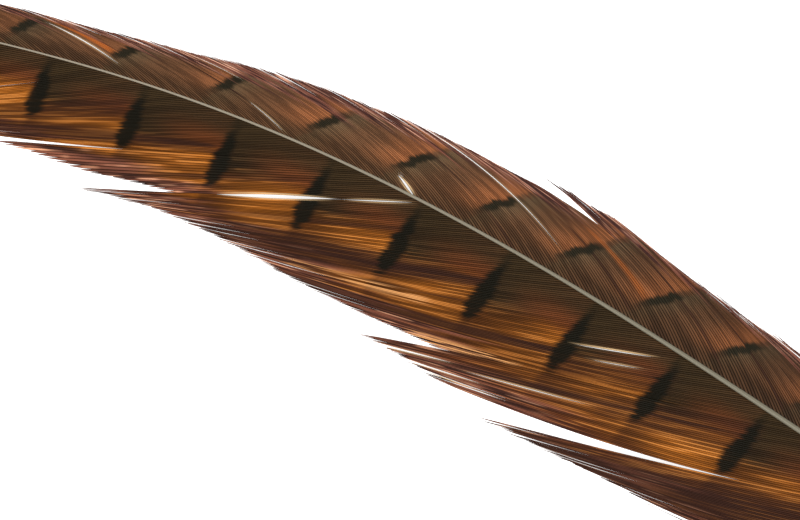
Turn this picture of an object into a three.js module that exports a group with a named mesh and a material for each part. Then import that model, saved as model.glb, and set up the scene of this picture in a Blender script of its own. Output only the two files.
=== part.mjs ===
// Side tail feather of a cock pheasant, lying on a table with its upper face up.
// Millimetres. +X runs along the feather's chord towards the tip, +Z is up, and the wide vane is on the +Y side.
// The feather is laid out in two lengths: s, measured along the shaft from the quill end, and v, measured
// square to the shaft, positive into the wide vane and negative into the narrow one.

import * as THREE from 'three';

// ---- driving dimensions ------------------------------------------------------------------------------------

const SHAFT_LENGTH = 340;

// Plan curve of the shaft: its heading swings by BEND either side of the middle heading.
const BEND = THREE.MathUtils.degToRad(14.44);
const BEND_MIDDLE = 243.9;
const BEND_SPREAD = 70.5;

// Quill: round, with a blunt end. Rachis: tapers by a constant share per millimetre.
const QUILL_RADIUS = 1.4;
const QUILL_NOSE = 5;
const QUILL_NOSE_RADIUS = 0.55;
const QUILL_END = 27;
const RACHIS_START = 50;
const RACHIS_WIDTH_AT_ZERO = 2.68;
const RACHIS_TAPER = 0.0075;
const RACHIS_DEPTH_RATIO = 1.15;

// How the feather lies: the shaft arches off the table, and the vanes slope down from it to the table.
const ARCH_HEIGHT = 2.6;
const VANE_ATTACH = 0.25;
const VANE_EDGE_HEIGHT = 0.16;
const VANE_SLOPE_POWER = 1.5;
const VANE_THICKNESS_AT_SHAFT = 0.5;
const VANE_THICKNESS_AT_EDGE = 0.3;
const TIP_LENGTH = 12;

const SHAFT_GAP = 0.3;
const LOCK_GAP = 0.6;

// Faceting.
const SHAFT_SIDES = 10;
const SHAFT_STEPS = 64;
const SHAFT_STEP_GROWTH = 1.05;
const BARB_STEPS = 10;
const LOCK_STEP = 7;
const PATH_STEP = 0.5;

// Vanes. side is the sign of v. fullWidth, taperStart and taperPower shape how the vane slopes to the table.
// hook makes a barb's foot steeper: it stands this share of the barb's reach further along the shaft.
const WIDE_VANE = { side: 1, fullWidth: 23.2, taperStart: 110, taperPower: 1.9, hook: 0 };
const NARROW_VANE = { side: -1, fullWidth: 11.2, taperStart: 150, taperPower: 2.1, hook: 0.1 };
const HOOK_FADE = 3;

// Locks: runs of barbs that hold together, from one real split to the next. lift raises the tips. barbs lists
// the barbs that give a lock its shape, from the quill's side to the tip's: where each leaves the shaft (root),
// how far along the shaft it runs (reach), how far out from the shaft it ends (spread), and its curl, which is
// how much more steeply it leaves the shaft than an even barb would.
const WIDE_LOCKS = [
  { name: 'down_wide_side', lift: 1.2, barbs: [[30, 12, 8, 0.4], [45, 24, 13, 0.4]] },
  { name: 'wide_vane_lock_1', lift: 0.4, barbs: [[45, 34, 14, 0.5], [62, 64, 20.8, 0.5]] },
  { name: 'wide_vane_lock_2', lift: 0, barbs: [[62, 64, 20.2, 0.5], [80, 72, 23.4, 0.6]] },
  { name: 'wide_vane_lock_3', lift: 0.5, barbs: [[80, 72, 23, 0.6], [113, 70, 26, 0.27]] },
  { name: 'wide_vane_lock_4', lift: 0.3, barbs: [[113, 78, 24, 0.62], [136.5, 71, 23.5, 0.2]] },
  {
    name: 'wide_vane_lock_5',
    lift: 0,
    barbs: [
      [136.5, 58.5, 19.6, 0.22],
      [143, 66, 20.4, 0.5],
      [150, 72, 20.4, 0.7],
      [178, 62, 18.8, 0.6],
      [192, 58, 18.4, 0.45],
      [207, 55, 19.2, 0.34],
    ],
  },
  {
    name: 'wide_vane_lock_6',
    lift: 0.4,
    barbs: [[207, 39, 15, 0.2], [214, 47, 16.2, 0.33], [221, 57, 15.4, 0.42]],
  },
  { name: 'wide_vane_lock_7', lift: 0, barbs: [[221, 60, 15, 0.6], [262, 44, 13.6, 0.5]] },
  { name: 'wide_vane_lock_8', lift: 0.2, barbs: [[262, 44, 13.5, 0.5], [300, 32, 10, 0.5]] },
  { name: 'wide_vane_lock_9', lift: 0, barbs: [[300, 32, 9.6, 0.5], [338, 11, 3, 0.5]] },
];

const NARROW_LOCKS = [
  { name: 'down_narrow_side', lift: 1.2, barbs: [[30, 10, 6, 0.4], [45, 20, 8.6, 0.4]] },
  { name: 'narrow_vane_lock_1', lift: 0.3, barbs: [[45, 26, 8.2, 0.7], [66, 38, 10.8, 0.7]] },
  { name: 'narrow_vane_lock_2', lift: 0, barbs: [[66, 38, 10.4, 0.7], [90, 41, 11.7, 0.7]] },
  { name: 'narrow_vane_lock_3', lift: 0.3, barbs: [[90, 41, 10.6, 0.7], [111, 41, 10.5, 0.7]] },
  { name: 'narrow_vane_lock_4', lift: 0, barbs: [[111, 41, 10.3, 0.7], [127, 41, 11.4, 0.7]] },
  { name: 'narrow_vane_lock_5', lift: 0.4, barbs: [[127, 41, 11.2, 0.7], [140, 41, 13.1, 0.66]] },
  { name: 'narrow_vane_lock_6', lift: 0, barbs: [[140, 41, 12.8, 0.7], [152, 41, 12.8, 0.68]] },
  { name: 'narrow_vane_lock_7', lift: 0.2, barbs: [[152, 41, 11.2, 1.0], [173, 41, 10.8, 0.75]] },
  {
    name: 'narrow_vane_lock_8',
    lift: 0,
    barbs: [[173, 41, 10.75, 0.75], [195, 39, 9.3, 0.72], [216, 37, 7.05, 0.7]],
  },
  {
    name: 'narrow_vane_lock_9',
    lift: 0.2,
    barbs: [[216, 37, 7.05, 0.7], [235, 32, 6.2, 0.7], [254, 29, 6.1, 0.7]],
  },
  { name: 'narrow_vane_lock_10', lift: 0, barbs: [[254, 29, 6.1, 0.7], [292, 24, 5.3, 0.7]] },
  { name: 'narrow_vane_lock_11', lift: 0, barbs: [[292, 24, 5.3, 0.7], [338, 9, 2, 0.7]] },
];

// ---- materials ---------------------------------------------------------------------------------------------

const shaftMaterial = new THREE.MeshStandardMaterial({ color: 0x8f8b7c, roughness: 0.4, metalness: 0 });
const wideMaterial = new THREE.MeshStandardMaterial({ color: 0x5a3a1e, roughness: 0.6, metalness: 0 });
const narrowMaterial = new THREE.MeshStandardMaterial({ color: 0x6b4c33, roughness: 0.6, metalness: 0 });
const downMaterial = new THREE.MeshStandardMaterial({ color: 0x8a7c6c, roughness: 0.9, metalness: 0 });

// ---- the lie of the feather --------------------------------------------------------------------------------

const mix = (a, b, share) => a + (b - a) * share;

// Heading of the shaft at s, measured from its middle heading.
function heading(s) {
  return BEND * Math.tanh((s - BEND_MIDDLE) / BEND_SPREAD);
}

// The shaft's plan curve, summed in short steps and then turned so that its chord lies along X.
const path = [{ x: 0, y: 0 }];
for (let s = PATH_STEP; s <= SHAFT_LENGTH + TIP_LENGTH; s += PATH_STEP) {
  const last = path[path.length - 1];
  const middle = heading(s - PATH_STEP / 2);
  path.push({ x: last.x + Math.cos(middle) * PATH_STEP, y: last.y + Math.sin(middle) * PATH_STEP });
}
const chordEnd = path[SHAFT_LENGTH / PATH_STEP];
const chordTurn = Math.atan2(chordEnd.y, chordEnd.x);

// A point of the plan from s and v.
function planPoint(s, v) {
  const index = Math.min(s / PATH_STEP, path.length - 2);
  const whole = Math.floor(index);
  const a = path[whole];
  const b = path[whole + 1];
  const turn = heading(s);
  const x = mix(a.x, b.x, index - whole) - v * Math.sin(turn);
  const y = mix(a.y, b.y, index - whole) + v * Math.cos(turn);
  const cos = Math.cos(chordTurn);
  const sin = Math.sin(chordTurn);
  return { x: x * cos + y * sin, y: y * cos - x * sin };
}

function shaftHalfWidth(s) {
  const rachis = 0.5 * RACHIS_WIDTH_AT_ZERO * Math.exp(-RACHIS_TAPER * s);
  const blend = THREE.MathUtils.smoothstep(s, QUILL_END, RACHIS_START);
  const nose = Math.sqrt(Math.min(s / QUILL_NOSE, 1));
  return mix(mix(QUILL_NOSE_RADIUS, QUILL_RADIUS, nose), rachis, blend);
}

function shaftHalfDepth(s) {
  return shaftHalfWidth(s) * mix(1, RACHIS_DEPTH_RATIO, THREE.MathUtils.smoothstep(s, QUILL_END, RACHIS_START));
}

// Height of the shaft's middle line. The full quill lies flat on the table, the rachis arches above it.
function shaftHeight(s) {
  const along = THREE.MathUtils.clamp((s - QUILL_END) / (SHAFT_LENGTH - QUILL_END), 0, 1);
  const flatSide = Math.cos(Math.PI / SHAFT_SIDES);
  const noseLift = Math.max(QUILL_RADIUS - shaftHalfDepth(s), 0) * (s < QUILL_NOSE ? 1 : 0);
  return shaftHalfDepth(s) * flatSide + noseLift + ARCH_HEIGHT * Math.sin(Math.PI * along) ** 2;
}

// Local half width of a vane's main outline, which sets how steeply the vane slopes.
function vaneWidth(vane, s) {
  const along = THREE.MathUtils.clamp(
    (s - vane.taperStart) / (SHAFT_LENGTH + TIP_LENGTH - vane.taperStart), 0, 1);
  return Math.max(vane.fullWidth * (1 - along ** vane.taperPower), 1);
}

// Height of the vane's middle surface: level with the shaft's upper sides, down to the table at the edge.
function vaneHeight(vane, s, v) {
  const clamped = Math.min(s, SHAFT_LENGTH);
  const top = shaftHeight(clamped) + VANE_ATTACH * shaftHalfDepth(clamped);
  const out = Math.min(Math.abs(v) / vaneWidth(vane, s), 1);
  return mix(Math.max(top, VANE_EDGE_HEIGHT), VANE_EDGE_HEIGHT, out ** VANE_SLOPE_POWER);
}

// ---- solids ------------------------------------------------------------------------------------------------

// Closed body from a grid of vertex rings. Every ring has the same even count, and the two ends are closed
// by a strip between the first half of the end ring and its second half.
function bodyFromRings(rings) {
  const count = rings[0].length;
  const positions = [];
  const indices = [];
  for (const ring of rings) {
    for (const point of ring) {
      positions.push(point.x, point.y, point.z);
    }
  }
  for (let i = 0; i < rings.length - 1; i += 1) {
    for (let j = 0; j < count; j += 1) {
      const a = i * count + j;
      const b = i * count + ((j + 1) % count);
      indices.push(a, b, b + count, a, b + count, a + count);
    }
  }
  const last = (rings.length - 1) * count;
  for (let j = 0; j < count / 2 - 1; j += 1) {
    const far = count - 1 - j;
    indices.push(j, far - 1, j + 1, j, far, far - 1);
    indices.push(last + j, last + j + 1, last + far - 1, last + j, last + far - 1, last + far);
  }
  const geometry = new THREE.BufferGeometry();
  geometry.setAttribute('position', new THREE.Float32BufferAttribute(positions, 3));
  geometry.setIndex(indices);
  geometry.computeVertexNormals();
  return geometry;
}

// Quill and rachis: one body, with a flat underside facet that lies on the table along the quill.
function shaftGeometry() {
  const rings = [];
  for (let i = 0; i <= SHAFT_STEPS; i += 1) {
    const s = SHAFT_LENGTH * (i / SHAFT_STEPS) ** SHAFT_STEP_GROWTH;
    const ring = [];
    for (let j = 0; j < SHAFT_SIDES; j += 1) {
      const angle = -Math.PI / 2 + (j + 0.5) * (2 * Math.PI / SHAFT_SIDES);
      const plan = planPoint(s, -shaftHalfWidth(s) * Math.cos(angle));
      ring.push({ x: plan.x, y: plan.y, z: shaftHeight(s) + shaftHalfDepth(s) * Math.sin(angle) });
    }
    rings.push(ring.reverse());
  }
  return bodyFromRings(rings);
}

// Root, reach, spread and curl of the barb that leaves the shaft at root, between a lock's listed barbs.
function shapeAt(barbs, root) {
  const last = barbs.length - 2;
  const index = Math.min(barbs.findIndex((barb, i) => i > last || barbs[i + 1][0] >= root), last);
  const before = barbs[index];
  const after = barbs[index + 1];
  const share = (root - before[0]) / (after[0] - before[0]);
  return before.map((value, column) => mix(value, after[column], share));
}

// Point of the middle surface at share t along the barb that leaves the shaft at root.
function lockPoint(vane, lock, root, t) {
  const [, reach, spread, curl] = shapeAt(lock.barbs, root);
  const start = (shaftHalfWidth(root) + SHAFT_GAP) / (spread * (1 + curl));
  const along = mix(start, 1, t);
  const s = root + reach * (along + vane.hook * (1 - along) ** HOOK_FADE);
  const v = vane.side * spread * along * (1 + curl * (1 - along));
  const plan = planPoint(s, v);
  return { x: plan.x, y: plan.y, z: vaneHeight(vane, s, v) + lock.lift * along ** 2 };
}

// A lock is a thin closed shell. Its rings run round the shell from its first barb to its last one.
function lockGeometry(vane, lock) {
  const from = lock.barbs[0][0] + LOCK_GAP / 2;
  const to = lock.barbs[lock.barbs.length - 1][0] - LOCK_GAP / 2;
  const steps = Math.max(2, Math.round((to - from) / LOCK_STEP));
  const rings = [];
  for (let i = 0; i <= BARB_STEPS; i += 1) {
    const t = i / BARB_STEPS;
    const half = mix(VANE_THICKNESS_AT_SHAFT, VANE_THICKNESS_AT_EDGE, t) / 2;
    const upper = [];
    const lower = [];
    for (let j = 0; j <= steps; j += 1) {
      const point = lockPoint(vane, lock, mix(from, to, j / steps), t);
      upper.push({ x: point.x, y: point.y, z: point.z + half });
      lower.push({ x: point.x, y: point.y, z: Math.max(point.z - half, 0) });
    }
    const ring = upper.concat(lower.reverse());
    rings.push(vane.side > 0 ? ring : ring.reverse());
  }
  return bodyFromRings(rings);
}

// ---- the feather -------------------------------------------------------------------------------------------

const feather = new THREE.Group();

function addPiece(name, geometry, material) {
  const mesh = new THREE.Mesh(geometry, material);
  mesh.name = name;
  feather.add(mesh);
}

addPiece('shaft', shaftGeometry(), shaftMaterial);
for (const lock of WIDE_LOCKS) {
  addPiece(lock.name, lockGeometry(WIDE_VANE, lock), lock.name.startsWith('down') ? downMaterial : wideMaterial);
}
for (const lock of NARROW_LOCKS) {
  addPiece(lock.name, lockGeometry(NARROW_VANE, lock), lock.name.startsWith('down') ? downMaterial : narrowMaterial);
}

// The origin is under the middle of the whole feather, on the table.
const box = new THREE.Box3().setFromObject(feather);
feather.position.set(-(box.min.x + box.max.x) / 2, -(box.min.y + box.max.y) / 2, -box.min.z);

export default feather;
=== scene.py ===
"""A cock pheasant's side tail feather, lying on a pale table, seen from straight above.

Every barb is a closed strip of its own, with a ridge along its middle. The barbs of one lock are one mesh,
which stands for that lock's plain solid. The feather is laid out in two lengths, in millimetres: s, measured
along the shaft from the quill end, and v, measured square to the shaft, positive into the wide vane and
negative into the narrow one.
"""

import math

import bpy
import numpy as np
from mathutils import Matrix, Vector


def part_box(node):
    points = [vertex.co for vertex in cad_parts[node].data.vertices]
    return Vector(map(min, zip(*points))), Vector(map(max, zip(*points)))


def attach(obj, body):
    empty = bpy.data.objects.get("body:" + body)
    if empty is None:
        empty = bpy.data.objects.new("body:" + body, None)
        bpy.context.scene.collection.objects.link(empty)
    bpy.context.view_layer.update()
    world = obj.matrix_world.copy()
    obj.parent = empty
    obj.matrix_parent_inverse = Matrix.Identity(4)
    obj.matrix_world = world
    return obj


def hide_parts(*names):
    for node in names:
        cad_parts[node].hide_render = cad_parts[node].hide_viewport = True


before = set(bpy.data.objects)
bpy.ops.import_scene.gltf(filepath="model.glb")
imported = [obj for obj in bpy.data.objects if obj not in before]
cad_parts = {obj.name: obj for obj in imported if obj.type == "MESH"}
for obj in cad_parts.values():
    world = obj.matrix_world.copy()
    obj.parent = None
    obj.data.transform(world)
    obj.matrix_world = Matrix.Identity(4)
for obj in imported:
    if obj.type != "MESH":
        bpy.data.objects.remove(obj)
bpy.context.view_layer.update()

MM = 0.001

# ---- the feather's own dimensions, in millimetres, as in the CAD model ---------------------------

SHAFT_LENGTH = 340
BEND = math.radians(14.44)
BEND_MIDDLE = 243.9
BEND_SPREAD = 70.5

QUILL_RADIUS = 1.4
QUILL_NOSE = 5
QUILL_NOSE_RADIUS = 0.55
QUILL_END = 27
RACHIS_START = 50
RACHIS_WIDTH_AT_ZERO = 2.68
RACHIS_TAPER = 0.0075
RACHIS_DEPTH_RATIO = 1.15

ARCH_HEIGHT = 2.6
VANE_ATTACH = 0.25
VANE_EDGE_HEIGHT = 0.16
VANE_SLOPE_POWER = 1.5
TIP_LENGTH = 12

SHAFT_SIDES = 10
SHAFT_STEPS = 64
SHAFT_STEP_GROWTH = 1.05
PATH_STEP = 0.5

# Vanes: side of the shaft, outline, hook, and the share of the vane's width that the bars cover, near the
# quill and at the tip. hook sets a barb's foot this share of its reach further along the shaft, so that the
# barb leaves more steeply.
WIDE_VANE = dict(
    side=1, full_width=23.2, taper_start=110, taper_power=1.9, hook=0.0, marking=(0.37, 0.93)
)
NARROW_VANE = dict(
    side=-1, full_width=11.2, taper_start=150, taper_power=2.1, hook=0.1, marking=(0.68, 0.72)
)
HOOK_FADE = 3
MARKING_START = 50

# Locks of barbs: name, lift of the tips, fray (0 where the barb ends cling together, 1 where they part), and
# the barbs that give the lock its shape. Each of those is root, reach along the shaft, spread out from the
# shaft, and curl, which is how much more steeply the barb leaves the shaft than it ends.
WIDE_LOCKS = [
    ("wide_vane_lock_1", 0.4, 0.6, [(45, 34, 14, 0.5), (62, 64, 20.8, 0.5)]),
    ("wide_vane_lock_2", 0.0, 0.5, [(62, 64, 20.2, 0.5), (80, 72, 23.4, 0.6)]),
    ("wide_vane_lock_3", 0.5, 0.15, [(80, 72, 23, 0.6), (113, 70, 26, 0.27)]),
    ("wide_vane_lock_4", 0.3, 0.2, [(113, 78, 24, 0.62), (136.5, 71, 23.5, 0.2)]),
    (
        "wide_vane_lock_5",
        0.0,
        0.12,
        [
            (136.5, 58.5, 19.6, 0.22),
            (143, 66, 20.4, 0.5),
            (150, 72, 20.4, 0.7),
            (178, 62, 18.8, 0.6),
            (192, 58, 18.4, 0.45),
            (207, 55, 19.2, 0.34),
        ],
    ),
    (
        "wide_vane_lock_6",
        0.4,
        0.12,
        [(207, 39, 15, 0.2), (214, 47, 16.2, 0.33), (221, 57, 15.4, 0.42)],
    ),
    ("wide_vane_lock_7", 0.0, 0.13, [(221, 60, 15, 0.6), (262, 44, 13.6, 0.5)]),
    ("wide_vane_lock_8", 0.2, 0.3, [(262, 44, 13.5, 0.5), (300, 32, 10, 0.5)]),
    ("wide_vane_lock_9", 0.0, 0.4, [(300, 32, 9.6, 0.5), (338, 11, 3, 0.5)]),
]
NARROW_LOCKS = [
    ("narrow_vane_lock_1", 0.3, 0.6, [(45, 26, 8.2, 0.7), (66, 38, 10.8, 0.7)]),
    ("narrow_vane_lock_2", 0.0, 0.6, [(66, 38, 10.4, 0.7), (90, 41, 11.7, 0.7)]),
    ("narrow_vane_lock_3", 0.3, 0.4, [(90, 41, 10.6, 0.7), (111, 41, 10.5, 0.7)]),
    ("narrow_vane_lock_4", 0.0, 0.35, [(111, 41, 10.3, 0.7), (127, 41, 11.4, 0.7)]),
    ("narrow_vane_lock_5", 0.4, 0.32, [(127, 41, 11.2, 0.7), (140, 41, 13.1, 0.66)]),
    ("narrow_vane_lock_6", 0.0, 0.28, [(140, 41, 12.8, 0.7), (152, 41, 12.8, 0.68)]),
    ("narrow_vane_lock_7", 0.2, 0.25, [(152, 41, 11.2, 1.0), (173, 41, 10.8, 0.75)]),
    (
        "narrow_vane_lock_8",
        0.0,
        0.16,
        [(173, 41, 10.75, 0.75), (195, 39, 9.3, 0.72), (216, 37, 7.05, 0.7)],
    ),
    (
        "narrow_vane_lock_9",
        0.2,
        0.12,
        [(216, 37, 7.05, 0.7), (235, 32, 6.2, 0.7), (254, 29, 6.1, 0.7)],
    ),
    ("narrow_vane_lock_10", 0.0, 0.1, [(254, 29, 6.1, 0.7), (292, 24, 5.3, 0.7)]),
    ("narrow_vane_lock_11", 0.0, 0.15, [(292, 24, 5.3, 0.7), (338, 9, 2, 0.7)]),
]

# Splits that follow a barb: its root, where they start and end along the shaft, and their width. Where one
# lock lies on the next, the width is negative.
WIDE_SLITS = [
    (207.0, 208.5, 219, 0.2),
    (207.0, 220.5, 239, 0.66),
    (157.2, 162, 176, 0.2),
    (151.5, 163, 172, 0.14),
    (136.5, 158, 205, -0.5),
    (128.0, 166, 190, 0.16),
    (131.0, 190, 216, 0.35),
    (123.0, 184, 212, 0.3),
    (118.0, 180, 208, 0.3),
]
NARROW_SLITS = [
    (205.0, 209, 213, 0.5),
    (173.0, 183, 211, 0.1),
    (152.0, 160, 188, -0.9),
    (254.0, 260, 274, 0.2),
    (227.5, 231.5, 240, 0.12),
    (216.0, 240, 252, 0.08),
    (140.0, 146, 196, -0.4),
    (127.0, 133, 184, -0.4),
    (111.0, 117, 168, -0.4),
]

# Dark bands and lines that follow the barbs, where one run of barbs shades the next: the root that each
# follows at its near end and at its far end, where it starts and ends along the shaft, its half width at
# each end, as a length along the roots, and its depth, up to 1.
WIDE_SHADES = [
    (177.0, 182.0, 190, 240, 1.8, 11.5, 1.0),
    (152.0, 152.0, 175, 228, 2.0, 5.0, 1.0),
    (130.5, 130.5, 145, 192, 0.9, 2.4, 0.9),
    (196.0, 196.0, 207, 245, 1.0, 2.0, 0.6),
    (167.5, 167.5, 192, 212, 0.5, 1.0, 0.7),
    (214.0, 214.0, 226, 262, 0.8, 1.6, 0.6),
    (223.0, 226.0, 238, 254, 1.0, 1.6, 0.7),
    (226.0, 236.0, 240, 290, 0.9, 11.0, 0.9),
    (98.0, 98.0, 115, 178, 14, 14, 1.0),
    (146.0, 146.0, 157, 178, 6, 6, 0.6),
    (129.0, 129.0, 141, 168, 7.5, 4.5, 0.6),
    (246.0, 246.0, 256, 285, 6, 5, 0.6),
]
NARROW_SHADES = [
    (228.0, 228.0, 239, 263, 0.5, 0.4, 0.9),
    (187.0, 187.0, 190, 213, 0.45, 0.45, 0.75),
    (164.0, 164.0, 169, 187, 0.45, 0.45, 0.75),
    (147.0, 147.0, 152, 178, 0.45, 0.6, 0.75),
    (135.0, 135.0, 140, 164, 0.45, 0.6, 0.75),
    (200.0, 200.0, 222, 243, 0.5, 0.8, 0.6),
]
SHADE_EASE = 3
SHADE_EDGE_POWER = 4

# Bright patches, listed in the same way: painted glints of pale gold on the wide vane, orange on the narrow
# one.
WIDE_PAINTED_GLINTS = [
    (163.0, 167.5, 198, 225, 2.5, 3.5, 0.75),
    (138.5, 140.0, 180, 201, 2.0, 3.0, 0.75),
]
NARROW_EMBERS = [
    (250.0, 250.0, 261, 277, 1.8, 1.2, 0.85),
    (157.5, 157.5, 168, 184, 1.3, 0.8, 0.4),
]

# ---- barbs ---------------------------------------------------------------------------------------

BARB_PITCH = 0.78
BARBS_LEAST = 3
# From this place along the shaft to its end, the spread of the barbs closes to nothing.
TIP_CLOSE_FROM = 322
BARB_START = 0.2
BARB_STEPS = 44
BARB_LAP = 1.12
BARB_SPREAD_MOST = 1.6
LOCK_EDGE_STEP = 0.07
BARB_RIDGE = 0.055
BARB_EDGE_DROP = 0.04
BARB_DEPTH = 0.14
BARB_CORE = 0.045
CLUMP_SIZES = (4, 13)
CLUMP_PULLS = (0.3, 1.0)
CLUMP_LIFTS = (-0.05, 0.3)
OWN_LIFT = 0.05
STRAY_SHARE = 0.09
STRAY_STRENGTHS = (0.3, 1)
STRAY_WHERE_CLOSED = 0.25
STRAY_OUT = 0.9
STRAY_LENGTH = 0.05
BARB_HAIR = 0.022
SLIT_EASE = 2.5
# Painted glow: barbs beside an open slit are tinted cream, for light that shines through the slit. It
# spreads over this many roots, and is full where the slit is this wide.
SLIT_GLOW_SPREAD = 0.42
SLIT_WIDTH_FOR_FULL_GLOW = 0.4

# The fray at which barb ends part fully, and how uneven their lengths are: at no fray, and added by it.
FRAY_PARTED = 0.6
UNEVEN_LENGTH = 0.006
UNEVEN_LENGTH_BY_FRAY = 0.02

# Slow waves across a lock. They fade out over this width at its edges, so that it meets its neighbours.
LOCK_EDGE_WIDTH = 4
SIDE_WAVE = 0.12
SIDE_WAVE_RUN = 6
HEIGHT_WAVE = 0.14
HEIGHT_WAVE_RUN = 5

# Shares of a barb's length between which something sets in. A pair of starts is for ends that cling
# together and for ends that part.
GATHER_STARTS = (0.9, 0.76)
GATHER_END = 1.05
STRAY_RANGE = (0.7, 1.1)
LIFT_RANGE = (0.3, 1)
HEIGHT_WAVE_RANGE = (0.15, 0.6)
LOCK_EDGE_RANGE = (0.15, 0.5)
WEB_STARTS = (0.96, 0.88)
TAPER_STARTS = (0.96, 0.92)
BARB_END = 1.02

TIP_LAP = 0.85
TIP_TAPER = 0.85
TIP_THINNESS = 0.5
BARB_CLEARANCE = 0.02
SLOPE_STEP_ALONG = 0.5
SLOPE_STEP_OUT = 0.1

rng = np.random.default_rng(11)


def mix(a, b, share):
    return a + (b - a) * share


def smooth(x, low, high):
    share = np.clip((x - low) / (high - low), 0, 1)
    return share * share * (3 - 2 * share)


def heading(s):
    return BEND * np.tanh((s - BEND_MIDDLE) / BEND_SPREAD)


# The shaft's plan curve, turned so that its chord lies along X.
PATH_BEYOND_TIP = 40
path_s = np.arange(0, SHAFT_LENGTH + PATH_BEYOND_TIP, PATH_STEP)
middle_heading = heading(path_s[1:] - PATH_STEP / 2)
path_x = np.append(0, np.cumsum(np.cos(middle_heading)) * PATH_STEP)
path_y = np.append(0, np.cumsum(np.sin(middle_heading)) * PATH_STEP)
chord_turn = math.atan2(
    np.interp(SHAFT_LENGTH, path_s, path_y), np.interp(SHAFT_LENGTH, path_s, path_x)
)


def turned_plan(s, v):
    """Plan point from s and v, before the origin moves under the feather's middle."""
    turn = heading(s)
    x = np.interp(s, path_s, path_x) - v * np.sin(turn)
    y = np.interp(s, path_s, path_y) + v * np.cos(turn)
    return (
        x * math.cos(chord_turn) + y * math.sin(chord_turn),
        y * math.cos(chord_turn) - x * math.sin(chord_turn),
    )


def shaft_half_width(s):
    rachis = 0.5 * RACHIS_WIDTH_AT_ZERO * np.exp(-RACHIS_TAPER * s)
    nose = np.sqrt(np.clip(s / QUILL_NOSE, 0, 1))
    return mix(
        mix(QUILL_NOSE_RADIUS, QUILL_RADIUS, nose),
        rachis,
        smooth(s, QUILL_END, RACHIS_START),
    )


def shaft_half_depth(s):
    return shaft_half_width(s) * mix(
        1, RACHIS_DEPTH_RATIO, smooth(s, QUILL_END, RACHIS_START)
    )


def shaft_height(s):
    along = np.clip((s - QUILL_END) / (SHAFT_LENGTH - QUILL_END), 0, 1)
    nose_lift = np.where(
        s < QUILL_NOSE, np.maximum(QUILL_RADIUS - shaft_half_depth(s), 0), 0
    )
    return (
        shaft_half_depth(s) * math.cos(math.pi / SHAFT_SIDES)
        + nose_lift
        + ARCH_HEIGHT * np.sin(math.pi * along) ** 2
    )


def vane_width(vane, s):
    length = SHAFT_LENGTH + TIP_LENGTH - vane["taper_start"]
    along = np.clip((s - vane["taper_start"]) / length, 0, 1)
    return np.maximum(vane["full_width"] * (1 - along ** vane["taper_power"]), 1)


def marking_width(vane, s):
    """Distance from the shaft at which the dark bars end."""
    along = np.clip((s - MARKING_START) / (SHAFT_LENGTH - MARKING_START), 0, 1)
    return mix(*vane["marking"], along) * vane_width(vane, s)


def vane_height(vane, s, v):
    on_shaft = np.minimum(s, SHAFT_LENGTH)
    top = shaft_height(on_shaft) + VANE_ATTACH * shaft_half_depth(on_shaft)
    out = np.minimum(np.abs(v) / vane_width(vane, s), 1)
    return mix(
        np.maximum(top, VANE_EDGE_HEIGHT), VANE_EDGE_HEIGHT, out**VANE_SLOPE_POWER
    )


# The CAD shaft's own corner says where the origin lies.
cad_s = SHAFT_LENGTH * (np.arange(SHAFT_STEPS + 1) / SHAFT_STEPS) ** SHAFT_STEP_GROWTH
cad_sides = [
    turned_plan(cad_s, side * shaft_half_width(cad_s)) for side in (-1, 1)
]
shaft_low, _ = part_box("shaft")
shift_x = shaft_low.x / MM - min(side[0].min() for side in cad_sides)
shift_y = shaft_low.y / MM - min(side[1].min() for side in cad_sides)


def plan_point(s, v):
    x, y = turned_plan(s, v)
    return x + shift_x, y + shift_y


def barb_out(spread, curl, t):
    """Distance from the shaft at share t of a barb's reach."""
    return spread * t * (1 + curl * (1 - t))


def soft_noise(count, run):
    """Values in -1 to 1 that change slowly from one barb to the next, over about run barbs."""
    coarse = rng.uniform(-1, 1, int(count / run) + 4)
    return np.interp(
        np.arange(count) / run + rng.uniform(0, 1), np.arange(len(coarse)), coarse
    )


def clumps(count):
    """For each barb, the number of its clump: barbs whose tips cling together."""
    number = np.zeros(count, int)
    start = 0
    clump = 0
    while start < count:
        size = int(rng.integers(*CLUMP_SIZES))
        number[start : start + size] = clump
        start += size
        clump += 1
    return number


def quad_mesh(name, points, quads, attributes):
    """Mesh of quads from points in millimetres, with one float attribute for each name in attributes."""
    mesh = bpy.data.meshes.new(name)
    mesh.vertices.add(len(points))
    mesh.vertices.foreach_set("co", (points * MM).astype(np.float32).ravel())
    mesh.loops.add(quads.size)
    mesh.loops.foreach_set("vertex_index", quads.astype(np.int32).ravel())
    mesh.polygons.add(len(quads))
    mesh.polygons.foreach_set(
        "loop_start", np.arange(0, quads.size, 4, dtype=np.int32)
    )
    mesh.polygons.foreach_set("use_smooth", np.ones(len(quads), bool))
    mesh.update(calc_edges=True)
    for key, values in attributes.items():
        layer = mesh.attributes.new(key, "FLOAT", "POINT")
        layer.data.foreach_set("value", values.astype(np.float32).ravel())
    piece = bpy.data.objects.new(name, mesh)
    bpy.context.collection.objects.link(piece)
    return piece


def tube_quads(strands, rings, around):
    """Quads of closed tubes that all have the same count of rings, and of points around a ring."""
    ring, corner = np.meshgrid(np.arange(rings - 1), np.arange(around), indexing="ij")
    after = (corner + 1) % around
    side = np.stack(
        [
            ring * around + corner,
            ring * around + after,
            (ring + 1) * around + after,
            (ring + 1) * around + corner,
        ],
        axis=-1,
    ).reshape(-1, 4)
    last = (rings - 1) * around
    caps = []
    for j in range(around // 2 - 1):
        far = around - 1 - j
        caps.append([j, far, far - 1, j + 1])
        caps.append([last + j, last + j + 1, last + far - 1, last + far])
    one = np.concatenate([side, np.array(caps)])
    offsets = np.arange(strands) * rings * around
    return (one[None] + offsets[:, None, None]).reshape(-1, 4)


# ---- a lock of barbs -----------------------------------------------------------------------------

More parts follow.
